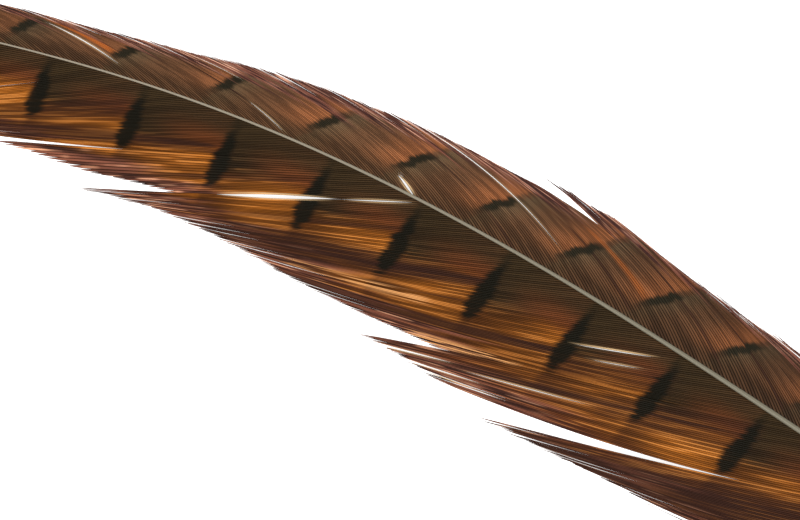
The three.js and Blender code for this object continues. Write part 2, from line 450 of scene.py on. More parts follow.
# Section of a barb, as shares of its half width, and heights that are set along the barb.
SECTION_ACROSS = np.array([-1, -0.45, 0, 0.45, 1, 0])
SECTION_RIDGE = np.array([0, 0.55, 1, 0.55, 0, 0])
SECTION_DROP = np.array([1, 0.2, 0, 0.2, 1, 0])
SECTION_KEEL = np.array([0, 0, 0, 0, 0, 1])


def end_parting(fray):
    """How far the ends of the barbs part, 0 to 1."""
    return min(fray / FRAY_PARTED, 1)


def lock_layout(hook, shaping_barbs, fray, slits):
    """Plan layout of a lock's barbs: s, v and share of length of every point along every barb.

    It also gives s and v before any clump, and s and v with every open slit closed. The last three results
    are each barb's clump, 0 at the lock's edges to 1 inside it, and a painted glow of light through a slit,
    1 at the sides of a slit.
    """
    known_root, known_reach, known_spread, known_curl = np.array(shaping_barbs, float).T
    width = known_root[-1] - known_root[0]
    count = max(int(round(width / BARB_PITCH)), BARBS_LEAST)
    root = (known_root[0] + width * (np.arange(count) + 0.5) / count)[:, None]
    reach = np.interp(root, known_root, known_reach)
    spread = np.interp(root, known_root, known_spread)
    spread = spread * (1 - smooth(root, TIP_CLOSE_FROM, SHAFT_LENGTH))
    curl = np.interp(root, known_root, known_curl)
    start = BARB_START * shaft_half_width(root) / (spread * (1 + curl))
    stray = (rng.random((count, 1)) < STRAY_SHARE) * rng.uniform(*STRAY_STRENGTHS, (count, 1))
    stray = stray * mix(STRAY_WHERE_CLOSED, 1, end_parting(fray))
    uneven = UNEVEN_LENGTH + UNEVEN_LENGTH_BY_FRAY * fray
    ragged = 1 + uneven * rng.normal(size=(count, 1)) + STRAY_LENGTH * stray
    t = start + (ragged - start) * np.linspace(0, 1, BARB_STEPS + 1)[None, :]

    even_s = root + reach * (t + hook * np.clip(1 - t, 0, 1) ** HOOK_FADE)
    even_v = barb_out(spread, curl, t)

    number = clumps(count)
    middle = np.array([root[number == number[i], 0].mean() for i in range(count)])
    middle[number == 0] = root[0]
    middle[number == number[-1]] = root[-1]
    pull = fray * rng.uniform(*CLUMP_PULLS, number.max() + 1)[number][:, None]
    gather = pull * smooth(t, mix(*GATHER_STARTS, fray), GATHER_END)
    s = even_s + (middle[:, None] - root) * gather
    to_edge = np.minimum(root - known_root[0], known_root[-1] - root)
    inside = smooth(to_edge, 0, LOCK_EDGE_WIDTH)
    v = even_v + SIDE_WAVE * soft_noise(count, SIDE_WAVE_RUN)[:, None] * t * inside
    v = v + STRAY_OUT * stray * smooth(t, *STRAY_RANGE)
    closed_v = v

    slit_painted_glow = np.zeros_like(t)
    for slit_root, first, last, slit_width in slits:
        away = np.abs(root - slit_root)
        side = np.sign(slit_root - root)
        open_share = np.sin(math.pi * np.clip((even_s - first) / (last - first), 0, 1))
        push = 0.5 * slit_width * side * np.exp(-away / SLIT_EASE) * open_share
        v = v + push
        if slit_width < 0:
            closed_v = closed_v + push
        # The barbs beside an open slit get a painted glow, stronger for a wider slit.
        slit_glow = np.clip(slit_width / SLIT_WIDTH_FOR_FULL_GLOW, 0, 1) * np.exp(-((away / SLIT_GLOW_SPREAD) ** 2))
        slit_painted_glow = np.maximum(slit_painted_glow, slit_glow * open_share)
    return root, t, s, v, (even_s, even_v), (s, closed_v), number, inside, slit_painted_glow


def spacing(s, v, across_x, across_y):
    """Distance from each barb to the next, square to the barb."""
    x, y = plan_point(s, v)
    return np.abs(np.gradient(x, axis=0) * across_x + np.gradient(y, axis=0) * across_y)


def band_share(root, s, bands):
    """How strong the listed bands, lines or patches are at each point, 0 to 1."""
    share = np.zeros_like(s)
    for near_root, far_root, first, last, near_width, far_width, depth in bands:
        along = np.clip((s - first) / (last - first), 0, 1)
        away = root - mix(near_root, far_root, along)
        width = mix(near_width, far_width, along)
        ends = smooth(s, first, first + SHADE_EASE) * (1 - smooth(s, last - SHADE_EASE, last))
        share = np.maximum(share, depth * ends * np.exp(-((away / width) ** SHADE_EDGE_POWER)))
    return share


def lock_piece(vane, lock, material, slits, shades, glints_and_orange):
    """One mesh of all the barbs of a lock, in place of the lock's plain solid."""
    name, lift, fray, shaping_barbs = lock
    side = vane["side"]
    root, t, s, v, even, closed, number, inside, slit_painted_glow = lock_layout(
        vane["hook"], shaping_barbs, fray, slits
    )
    count = len(root)

    x, y = plan_point(s, side * v)
    clump_lift = rng.uniform(*CLUMP_LIFTS, number.max() + 1)[number][:, None]
    own_lift = OWN_LIFT * rng.uniform(-1, 1, (count, 1))
    edge_step = LOCK_EDGE_STEP if lift > 0 else -LOCK_EDGE_STEP
    z = (
        vane_height(vane, s, v)
        + lift * t**2
        + (fray * np.maximum(clump_lift, 0) + own_lift) * smooth(t, *LIFT_RANGE)
        + HEIGHT_WAVE
        * soft_noise(count, HEIGHT_WAVE_RUN)[:, None]
        * smooth(t, *HEIGHT_WAVE_RANGE)
        * inside
        + edge_step * (1 - inside) * smooth(t, *LOCK_EDGE_RANGE)
    )

    # Directions: along the barb, and sideways in plan.
    along_x = np.gradient(x, axis=1)
    along_y = np.gradient(y, axis=1)
    length = np.hypot(along_x, along_y)
    across_x = -along_y / length
    across_y = along_x / length

    # Slope of the vane sideways, and distance to the next barb with every open slit closed.
    turn = heading(s) - chord_turn
    across_s = across_x * np.cos(turn) + across_y * np.sin(turn)
    across_v = side * (across_y * np.cos(turn) - across_x * np.sin(turn))
    slope_s = (
        vane_height(vane, s + SLOPE_STEP_ALONG, v) - vane_height(vane, s - SLOPE_STEP_ALONG, v)
    ) / (2 * SLOPE_STEP_ALONG)
    slope_v = (
        vane_height(vane, s, v + SLOPE_STEP_OUT)
        - vane_height(vane, s, np.maximum(v - SLOPE_STEP_OUT, 0))
    ) / (2 * SLOPE_STEP_OUT)
    tilt = slope_s * across_s + slope_v * across_v
    even_pitch = spacing(even[0], side * even[1], across_x, across_y)
    closed_pitch = spacing(closed[0], side * closed[1], across_x, across_y)
    pitch = np.clip(closed_pitch, even_pitch, BARB_SPREAD_MOST * even_pitch)

    parting = end_parting(fray)
    web = mix(BARB_LAP, TIP_LAP, smooth(t, mix(*WEB_STARTS, parting), BARB_END))
    taper = 1 - TIP_TAPER * smooth(t, mix(*TAPER_STARTS, parting), BARB_END)
    half = np.maximum(np.maximum(0.5 * pitch * web, BARB_CORE) * taper, BARB_HAIR)

    thin = mix(1, TIP_THINNESS, t) * taper
    offset = half[..., None] * SECTION_ACROSS
    rise = (
        thin[..., None]
        * (
            BARB_RIDGE * SECTION_RIDGE
            - BARB_EDGE_DROP * SECTION_DROP
            - BARB_DEPTH * SECTION_KEEL
        )
        + offset * tilt[..., None]
    )
    points = np.stack(
        [
            x[..., None] + offset * across_x[..., None],
            y[..., None] + offset * across_y[..., None],
            np.maximum(z[..., None] + rise, BARB_CLEARANCE),
        ],
        axis=-1,
    )
    ones = np.ones_like(points[..., 0])
    attributes = {
        "along_shaft": s[..., None] * ones,
        "from_shaft": v[..., None] * ones,
        "marking_share": (v / marking_width(vane, s))[..., None] * ones,
        "along_barb": t[..., None] * ones,
        "slit_painted_glow": slit_painted_glow[..., None] * ones,
        "shade": band_share(root, s, shades)[..., None] * ones,
        "glint_and_orange": band_share(root, s, glints_and_orange)[..., None] * ones,
        "root": root[..., None] * ones,
        "tone": rng.normal(size=(count, 1, 1)) * ones,
        "across": SECTION_ACROSS * ones,
        "underside": SECTION_KEEL * ones,
    }
    quads = tube_quads(count, t.shape[1], len(SECTION_ACROSS))
    piece = quad_mesh("barbs_" + name, points.reshape(-1, 3), quads[:, ::-1], attributes)
    piece.data.materials.append(material)
    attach(piece, "root")
    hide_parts(name)


# ---- shaft ---------------------------------------------------------------------------------------

SHAFT_RINGS = 420
SHAFT_AROUND = 28
GROOVE_DEPTH = 0.3
GROOVE_SHARPNESS = 6
RACHIS_TOP_HEIGHT = 0.9


def shaft_piece(material):
    s = SHAFT_LENGTH * np.linspace(0, 1, SHAFT_RINGS) ** SHAFT_STEP_GROWTH
    angle = np.arange(SHAFT_AROUND) * (2 * math.pi / SHAFT_AROUND)
    half_width = shaft_half_width(s)[:, None]
    half_depth = shaft_half_depth(s)[:, None]
    is_rachis = smooth(s, QUILL_END, RACHIS_START)[:, None]
    across = np.cos(angle)[None, :] * half_width
    height = np.sin(angle)[None, :] * half_depth
    # The upper side is flatter than round, and the underside has a groove along the rachis.
    height = np.where(height > 0, height * mix(1, RACHIS_TOP_HEIGHT, is_rachis), height)
    under = np.clip(-np.sin(angle), 0, 1)[None, :] ** GROOVE_SHARPNESS
    height = height + GROOVE_DEPTH * half_depth * under * is_rachis
    x, y = plan_point(s[:, None] + 0 * across, across)
    z = np.maximum(shaft_height(s)[:, None] + height, 0)
    points = np.stack([x, y, z], axis=-1)
    attributes = {
        "along_shaft": s[:, None] + 0 * across,
        "across": np.cos(angle)[None, :] + 0 * across,
        "upward": np.sin(angle)[None, :] + 0 * across,
    }
    quads = tube_quads(1, SHAFT_RINGS, SHAFT_AROUND)
    piece = quad_mesh("quill_and_rachis", points.reshape(-1, 3), quads[:, ::-1], attributes)
    piece.data.materials.append(material)
    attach(piece, "root")
    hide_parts("shaft")


# ---- down ----------------------------------------------------------------------------------------

# Sides of the down: name, vane, and the first and last strand's root, reach and spread.
DOWN_LOCKS = [
    ("down_wide_side", WIDE_VANE, (30, 45), (12, 24), (8, 13)),
    ("down_narrow_side", NARROW_VANE, (30, 45), (10, 20), (6, 8.6)),
]
DOWN_PITCH = 0.36
DOWN_CURL = 0.4
DOWN_STEPS = 16
DOWN_RADIUS = 0.06
DOWN_TAPER = 0.75
DOWN_REACH_SHARES = (0.75, 1.05)
DOWN_SPREAD_SHARES = (0.8, 1.0)
DOWN_REACH_POWER = 1.2
DOWN_FOOT_OUT = 0.8
DOWN_SWAY_OUT = 1.2
DOWN_HEIGHT = 0.5
DOWN_SWAY_HEIGHT = 0.4
DOWN_ABOVE_VANE = 0.15

# Ripples of a strand, along the shaft and out from it: height in mm, and turns in radians over its length.
RIPPLE_ALONG = 0.5
RIPPLE_ALONG_TURNS = 5
RIPPLE_OUT = 0.35
RIPPLE_OUT_TURNS = 7

BARBULES_PER_STRAND = 110
BARBULES_BETWEEN = (0.06, 0.98)
BARBULE_LENGTH = 2.1
BARBULE_LENGTH_SHARES = (0.6, 1.1)
BARBULE_RISES = (-0.25, 0.35)
BARBULE_RADIUS = 0.022
BARBULE_TAPER = (1, 0.8, 0.3)
# A barbule's middle and end, as shares of its length: forward, sideways and upward.
BARBULE_MIDDLE = (0.35, 0.4, 0.5)
BARBULE_END = (0.85, 0.6, 1.0)
STRAND_SIDES = 4
BARBULE_POINTS = 3


def round_strands(paths, radius):
    """Four-sided closed tubes along many paths: paths is strands x points x 3, radius strands x points."""
    tangent = np.gradient(paths, axis=1)
    tangent /= np.linalg.norm(tangent, axis=-1, keepdims=True)
    up = np.array([0.0, 0.0, 1.0])
    side = np.cross(tangent, up)
    side /= np.maximum(np.linalg.norm(side, axis=-1, keepdims=True), 1e-6)
    lift = np.cross(side, tangent)
    corners = [side, lift, -side, -lift]
    rings = np.stack([paths + radius[..., None] * c for c in corners], axis=2)
    rings[..., 2] = np.maximum(rings[..., 2], 0.01)
    return rings.reshape(-1, 3), tube_quads(len(paths), paths.shape[1], STRAND_SIDES)


def down_piece(name, vane, roots, reaches, spreads, material):
    """One mesh of the strands and barbules of one side of the down, in place of its plain solid."""
    count = int((roots[1] - roots[0]) / DOWN_PITCH)
    k = (np.arange(count) + 0.5) / count
    root = mix(*roots, k)[:, None]
    reach = (mix(*reaches, k) * rng.uniform(*DOWN_REACH_SHARES, count))[:, None]
    spread = (mix(*spreads, k) * rng.uniform(*DOWN_SPREAD_SHARES, count))[:, None]
    t = np.linspace(0, 1, DOWN_STEPS)[None, :]
    sway = rng.uniform(-1, 1, (count, 1))
    phase = rng.uniform(0, 6, (count, 1))
    s = root + reach * t**DOWN_REACH_POWER
    s = s + RIPPLE_ALONG * np.sin(RIPPLE_ALONG_TURNS * t + phase) * t
    v = DOWN_FOOT_OUT * shaft_half_width(root) * (1 - t) + barb_out(spread, DOWN_CURL, t)
    v = v + sway * DOWN_SWAY_OUT * t**2
    v = v + RIPPLE_OUT * np.sin(RIPPLE_OUT_TURNS * t + 2 * phase) * t
    loft = (DOWN_HEIGHT + DOWN_SWAY_HEIGHT * sway) * np.sin(math.pi * t)
    z = vane_height(vane, s, v) + loft + DOWN_ABOVE_VANE
    x, y = plan_point(s, vane["side"] * v)
    paths = np.stack([x, y, z], axis=-1)
    radius = DOWN_RADIUS * (1 - DOWN_TAPER * t) * np.ones_like(x)
    points, quads = round_strands(paths, radius)

    # Barbules: fine hairs that leave each strand on both sides.
    each = np.linspace(*BARBULES_BETWEEN, BARBULES_PER_STRAND) * (DOWN_STEPS - 1)
    low = np.floor(each).astype(int)
    part = (each - low)[None, :, None]
    start = paths[:, low] * (1 - part) + paths[:, low + 1] * part
    direction = paths[:, low + 1] - paths[:, low]
    direction /= np.linalg.norm(direction, axis=-1, keepdims=True)
    sideways = np.stack(
        [-direction[..., 1], direction[..., 0], 0 * direction[..., 0]], axis=-1
    )
    flip = np.where(np.arange(BARBULES_PER_STRAND) % 2 == 0, 1, -1)[None, :, None]
    shape = start.shape[:2] + (1,)
    long = BARBULE_LENGTH * rng.uniform(*BARBULE_LENGTH_SHARES, shape)
    rise = rng.uniform(*BARBULE_RISES, shape) * np.array([0, 0, 1.0])
    middle, end = [
        start + long * (forward * direction + outward * flip * sideways + upward * rise)
        for forward, outward, upward in (BARBULE_MIDDLE, BARBULE_END)
    ]
    hairs = np.stack([start, middle, end], axis=2).reshape(-1, BARBULE_POINTS, 3)
    thickness = np.array(BARBULE_TAPER) * BARBULE_RADIUS * np.ones((len(hairs), 1))
    hair_points, hair_quads = round_strands(hairs, thickness)

    strand_ones = np.ones((count, DOWN_STEPS, STRAND_SIDES))
    hair_corners = BARBULE_POINTS * STRAND_SIDES
    tone = rng.normal(size=(count, 1, 1)) * strand_ones
    hair_tone = np.repeat(rng.normal(size=count), BARBULES_PER_STRAND * hair_corners)
    share = t[..., None] * strand_ones
    hair_share = np.repeat(np.tile(each / (DOWN_STEPS - 1), count), hair_corners)
    attributes = {
        "tone": np.concatenate([tone.ravel(), hair_tone]),
        "along_barb": np.concatenate([share.ravel(), hair_share]),
    }
    all_points = np.concatenate([points, hair_points])
    all_quads = np.concatenate([quads, hair_quads + len(points)])
    piece = quad_mesh("strands_" + name, all_points, all_quads, attributes)
    piece.data.materials.append(material)
    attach(piece, "root")
    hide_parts(name)


# ---- materials -----------------------------------------------------------------------------------


def linear(red, green, blue):
    """A colour from its screen values, 0 to 255."""
    values = [c / 255 for c in (red, green, blue)]
    return [c / 12.92 if c <= 0.04045 else ((c + 0.055) / 1.055) ** 2.4 for c in values] + [1]


class Surface:
    """A material's node tree, with short calls for the nodes that this scene needs."""

    def __init__(self, name, roughness, specular):
        self.material = bpy.data.materials.new(name)
        self.material.use_nodes = True
        self.tree = self.material.node_tree
        self.shader = self.tree.nodes["Principled BSDF"]
        self.shader.inputs["Roughness"].default_value = roughness
        self.shader.inputs["Specular IOR Level"].default_value = specular

    def put(self, socket, value):
        if isinstance(value, bpy.types.NodeSocket):
            self.tree.links.new(value, socket)
        else:
            socket.default_value = value

    def attribute(self, name):
        node = self.tree.nodes.new("ShaderNodeAttribute")
        node.attribute_name = name
        return node.outputs["Fac"]

    def math(self, operation, a, b=0.0, c=0.0):
        node = self.tree.nodes.new("ShaderNodeMath")
        node.operation = operation
        for socket, value in zip(node.inputs, (a, b, c)):
            self.put(socket, value)
        return node.outputs[0]

    def smooth(self, x, low, high, out_low=0.0, out_high=1.0):
        node = self.tree.nodes.new("ShaderNodeMapRange")
        node.interpolation_type = "SMOOTHSTEP"
        values = (x, low, high, out_low, out_high)
        for key, value in zip(("Value", "From Min", "From Max", "To Min", "To Max"), values):
            self.put(node.inputs[key], value)
        return node.outputs[0]

    def blend(self, share, a, b, kind="MIX"):
        node = self.tree.nodes.new("ShaderNodeMix")
        node.data_type = "RGBA"
        node.blend_type = kind
        self.put(node.inputs[0], share)
        self.put(node.inputs[6], a)
        self.put(node.inputs[7], b)
        return node.outputs[2]

    def noise(self, x, y, scale_x, scale_y, detail=2.0, offset=0.0):
        vector = self.tree.nodes.new("ShaderNodeCombineXYZ")
        self.put(vector.inputs[0], self.math("MULTIPLY", x, scale_x))
        self.put(vector.inputs[1], self.math("MULTIPLY_ADD", y, scale_y, offset))
        node = self.tree.nodes.new("ShaderNodeTexNoise")
        node.noise_dimensions = "2D"
        self.put(node.inputs["Vector"], vector.outputs[0])
        node.inputs["Scale"].default_value = 1.0
        node.inputs["Detail"].default_value = detail
        return node.outputs[0]

    def bump(self, height, strength, distance):
        node = self.tree.nodes.new("ShaderNodeBump")
        node.inputs["Strength"].default_value = strength
        node.inputs["Distance"].default_value = distance
        self.put(node.inputs["Height"], height)
        self.put(self.shader.inputs["Normal"], node.outputs[0])


# Bars: the distance from each bar to the next, the place of one bar along the shaft, and how far the bars
# lean along the shaft for each millimetre away from it. The narrow vane's bars stand closer together on the
# quill side of that bar.
WIDE_BAR_PERIOD = 16.1
NARROW_BAR_PERIOD_TIP_SIDE = 16.4
NARROW_BAR_PERIOD_QUILL_SIDE = 14.8
WIDE_BAR_AT = 271.6
WIDE_BAR_SLANT = -0.1
NARROW_BAR_AT = 231.4
NARROW_BAR_SLANT = 0.96

# Colours, as screen values of 0 to 255. A fringe has three: dark, light and palest, the palest a painted
# highlight on the barb ends.
BAR_COLOUR = (15, 14, 8)
# Painted shade in the valleys between barbs.
VALLEY_SHADE_COLOUR = (24, 17, 11)
# Cream of the painted glow on barbs beside an open slit.
SLIT_PAINTED_GLOW_COLOUR = (226, 190, 140)
SHADE_COLOUR = (42, 23, 16)
EMBER_COLOUR = (158, 84, 34)
# Painted glint on the wide vane's bright streaks.
GLINT_COLOUR = (198, 142, 88)
UNDERSIDE_COLOUR = (104, 92, 78)

WIDE_NEAR_DARK = (46, 34, 18)
WIDE_NEAR_LIGHT = (56, 38, 21)
WIDE_INNER_DARK = (46, 33, 18)
WIDE_INNER_LIGHT = (90, 47, 22)
WIDE_OUTER_DARK = (68, 38, 18)
WIDE_OUTER_GOLD = (150, 86, 26)
WIDE_PAST_BARS = (90, 48, 25)
# Painted sheen on the brightest gold streaks.
WIDE_PAINTED_SHEEN = (172, 110, 52)
WIDE_FRINGE = ((44, 25, 20), (108, 64, 48), (204, 146, 112))

NARROW_ZONE_DARK = (86, 58, 38)
NARROW_ZONE_RUSTY = (126, 76, 45)
NARROW_ZONE_HAZE = (80, 63, 44)
NARROW_NEAR = (63, 42, 26)
NARROW_NEAR_HAZE = (60, 44, 28)
NARROW_BAR_COLOUR = (26, 25, 16)
NARROW_FRINGE = ((54, 31, 28), (112, 68, 54), (204, 152, 126))

RACHIS_COLOUR = (114, 108, 91)
RACHIS_TIP_COLOUR = (150, 139, 121)
QUILL_COLOUR = (206, 196, 168)
SHAFT_GRAIN_COLOUR = (78, 74, 60)
SHAFT_SIDE_COLOUR = (44, 34, 22)
DOWN_FOOT_COLOUR = (128, 116, 100)
DOWN_TIP_COLOUR = (92, 76, 62)
DOWN_PALE_COLOUR = (150, 138, 122)


def bar_cycle(surface, s, bar_at, tip_side_period, quill_side_period):
    """Share of the way from one bar (0) to the next towards the tip (1), and distance to the nearest."""
    from_bar = surface.math("SUBTRACT", s, bar_at)
    turns = surface.math(
        "MINIMUM",
        surface.math("DIVIDE", from_bar, tip_side_period),
        surface.math("DIVIDE", from_bar, quill_side_period),
    )
    cycle = surface.math("FRACT", surface.math("ADD", turns, 40.0))
    to_middle = surface.math("ABSOLUTE", surface.math("SUBTRACT", cycle, 0.5))
    distance = surface.math("MULTIPLY", surface.math("SUBTRACT", 0.5, to_middle), tip_side_period)
    return cycle, distance


def streaks(surface, root, along, tone):
    """A value of 0 to 1 in streaks that follow the barbs: groups of barbs, and barbs of their own."""
    broad = surface.noise(root, along, 0.28, 1.3, 1.0)
    middle = surface.noise(root, along, 0.9, 2.6, 1.0, 31.0)
    fine = surface.noise(root, along, 2.9, 7.0, 0.0, 67.0)
    level = surface.math("MULTIPLY_ADD", broad, 0.3, surface.math("MULTIPLY", middle, 0.38))
    level = surface.math("MULTIPLY_ADD", fine, 0.32, level)
    level = surface.math("MULTIPLY_ADD", tone, 0.025, level)
    return surface.smooth(level, 0.41, 0.6)


def vane_attributes(surface):
    """What both vanes read: s, v, share of the bars' width, along a barb, its root and tone, across it."""
    names = "along_shaft", "from_shaft", "marking_share", "along_barb", "root", "tone", "across"
    return [surface.attribute(name) for name in names]


def fringe_share(surface, root, along, group_scale, middle):
    """Share of the mauve fringe, which reaches further in along some groups of barbs than others."""
    reach_in = surface.noise(root, 0.0, group_scale, 1.0, 2.0, 13.0)
    start = surface.math("MULTIPLY_ADD", surface.math("SUBTRACT", reach_in, 0.5), 0.9, middle)
    return surface.smooth(surface.math("SUBTRACT", along, start), -0.1, 0.1)


def fringe_colour(surface, root, along, streak, streak_scale, highlight_range, colours):
    """Dark and light mauve streaks, with painted highlights towards the barb ends."""
    dark, light, painted_highlight = colours
    highlight_share = surface.noise(root, along, streak_scale, 5.0, 2.0, 47.0)
    highlight_share = surface.math(
        "MULTIPLY", surface.smooth(highlight_share, *highlight_range), surface.smooth(along, 0.5, 1.0)
    )
    mauve = surface.blend(streak, linear(*dark), linear(*light))
    return surface.blend(highlight_share, mauve, linear(*painted_highlight))


def shaded(surface, colour, level):
    """A colour made darker or lighter by a factor."""
    grey = surface.tree.nodes.new("ShaderNodeCombineColor")
    for socket in grey.inputs:
        surface.put(socket, level)
    return surface.blend(1.0, colour, grey.outputs[0], "MULTIPLY")


def finish_vane(surface, colour, across, along, root, valley_shade, ridge_light_gain):
    """Painted shade darkens the valleys between barbs and painted light brightens their ridges, the
    underside is duller, and fine barbules roughen the surface.
    """
    edge = surface.smooth(surface.math("ABSOLUTE", across), 0.3, 1.0)
    # Painted light: each barb's ridge is lighter than its edges.
    ridge_light = surface.math("MULTIPLY_ADD", surface.math("SUBTRACT", 1.0, edge), ridge_light_gain, 0.82)
    colour = shaded(surface, colour, ridge_light)
    # Painted glow of light through a slit: cream on the barbs beside an open slit.
    slit_painted_glow = surface.math("MULTIPLY", surface.attribute("slit_painted_glow"), 1.3)
    colour = surface.blend(surface.math("MINIMUM", slit_painted_glow, 0.8), colour, linear(*SLIT_PAINTED_GLOW_COLOUR))
    colour = surface.blend(surface.math("MULTIPLY", edge, valley_shade), colour, linear(*VALLEY_SHADE_COLOUR))
    under = surface.attribute("underside")
    colour = surface.blend(surface.math("MULTIPLY", under, 0.8), colour, linear(*UNDERSIDE_COLOUR))
    surface.put(surface.shader.inputs["Base Color"], colour)
    surface.put(surface.shader.inputs["Roughness"], surface.smooth(edge, 0.0, 1.0, 0.4, 0.65))
    barbules = surface.noise(root, along, 9.0, 260.0, 1.0)
    surface.bump(barbules, 0.35, 0.00005)


def wide_vane_material():
    surface = Surface("wide_vane_barbs", 0.5, 0.04)
    s, v, out, along, root, tone, across = vane_attributes(surface)

    # Where each point lies between two bars, with their edges made uneven from barb to barb.
    jag = surface.math("MULTIPLY_ADD", tone, 0.13, s)
    wander = surface.noise(root, out, 0.35, 3.0, 2.0)
    jag = surface.math("MULTIPLY_ADD", surface.math("SUBTRACT", wander, 0.5), 1.2, jag)
    jag = surface.math("MULTIPLY_ADD", v, WIDE_BAR_SLANT, jag)
    cycle, distance = bar_cycle(surface, jag, WIDE_BAR_AT, WIDE_BAR_PERIOD, WIDE_BAR_PERIOD)
    streak = streaks(surface, root, along, tone)

    # Ground colour: olive by the shaft, then brown, then gold, each brighter on the tip side of a bar.
    past_bars = surface.smooth(out, 1.15, 1.5)
    past_bar = surface.smooth(cycle, 0.0, 0.1)
    glow = surface.math("MINIMUM", surface.smooth(cycle, 0.1, 0.9, 1.0, 0.0), past_bar)
    near = surface.blend(glow, linear(*WIDE_NEAR_DARK), linear(*WIDE_NEAR_LIGHT))
    inner = surface.blend(glow, linear(*WIDE_INNER_DARK), linear(*WIDE_INNER_LIGHT))
    richness = surface.noise(s, v, 0.035, 0.1, 1.0, 9.0)
    long_glow = surface.math(
        "MINIMUM",
        surface.smooth(cycle, 0.4, 1.0, 1.0, 0.3),
        surface.smooth(cycle, 0.0, 0.1, 0.3, 1.0),
    )
    long_glow = surface.math("MULTIPLY", long_glow, surface.smooth(richness, 0.3, 0.6, 0.4, 1.0))
    outer = surface.blend(long_glow, linear(*WIDE_OUTER_DARK), linear(*WIDE_OUTER_GOLD))
    outer = surface.blend(past_bars, outer, linear(*WIDE_PAST_BARS))
    gold_from = surface.math("MULTIPLY_ADD", glow, 0.22, out)
    colour = surface.blend(surface.smooth(gold_from, 0.62, 0.92), inner, outer)
    colour = surface.blend(surface.smooth(out, 0.14, 0.48), near, colour)

    # Streaks, which are deeper away from the shaft, a painted sheen on the brightest, and the dark bands.
    depth = surface.smooth(out, 0.15, 0.8, 0.5, 1.0)
    low = surface.math("MULTIPLY_ADD", depth, -0.6, 1.0)
    high = surface.math("MULTIPLY_ADD", depth, 0.02, 1.0)
    level = surface.math("MULTIPLY_ADD", streak, surface.math("SUBTRACT", high, low), low)
    colour = shaded(surface, colour, level)
    painted_sheen = surface.smooth(streak, 0.6, 1.0, 0.0, 0.7)
    painted_sheen = surface.math("MULTIPLY", painted_sheen, surface.smooth(out, 0.5, 0.9))
    colour = surface.blend(surface.math("MULTIPLY", painted_sheen, long_glow), colour, linear(*WIDE_PAINTED_SHEEN))
    shade = surface.attribute("shade")
    dark = surface.math("MULTIPLY", shade, surface.smooth(streak, 0.0, 1.0, 1.0, 0.9))
    colour = surface.blend(dark, colour, linear(*SHADE_COLOUR))

    # Dark bars, which widen away from the shaft and end unevenly.
    bar_end = surface.noise(root, 0.0, 0.6, 1.0, 1.0, 5.0)
    bar_end = surface.math("MULTIPLY_ADD", surface.math("SUBTRACT", bar_end, 0.5), 0.3, out)
    rounding = surface.smooth(bar_end, 0.78, 1.06, 1.0, 0.4)
    bar_half = surface.math("MULTIPLY", surface.smooth(out, 0.05, 0.75, 0.5, 1.6), rounding)
    bar = surface.smooth(surface.math("SUBTRACT", distance, bar_half), -0.65, 0.65, 1.0, 0.0)
    starts = surface.smooth(out, 0.04, 0.34, 0.18, 0.96)
    ends = surface.smooth(bar_end, 0.96, 1.08, 1.0, 0.0)
    bar = surface.math("MULTIPLY", bar, surface.math("MULTIPLY", starts, ends))
    colour = surface.blend(bar, colour, linear(*BAR_COLOUR))

    # The mauve fringe, with painted glints on it and dark bands through it.
    fringe = fringe_share(surface, root, along, 0.16, 0.76)
    fringe = surface.math("MULTIPLY", fringe, surface.smooth(out, 0.7, 1.1))
    mauve = fringe_colour(surface, root, along, streak, 1.6, (0.57, 0.75), WIDE_FRINGE)
    colour = surface.blend(fringe, colour, mauve)
    glint = surface.math("MULTIPLY", surface.attribute("glint_and_orange"), surface.smooth(streak, 0.1, 0.8))
    colour = surface.blend(glint, colour, linear(*GLINT_COLOUR))
    tip_dark = surface.math("MULTIPLY", dark, fringe)
    colour = surface.blend(surface.math("MULTIPLY", tip_dark, 0.85), colour, linear(*SHADE_COLOUR))

    # Depth of the painted shade in the valleys between barbs.
    valley_shade = surface.smooth(out, 0.1, 0.8, 0.66, 0.34)
    finish_vane(surface, colour, across, along, root, valley_shade, 0.6)
    return surface.material


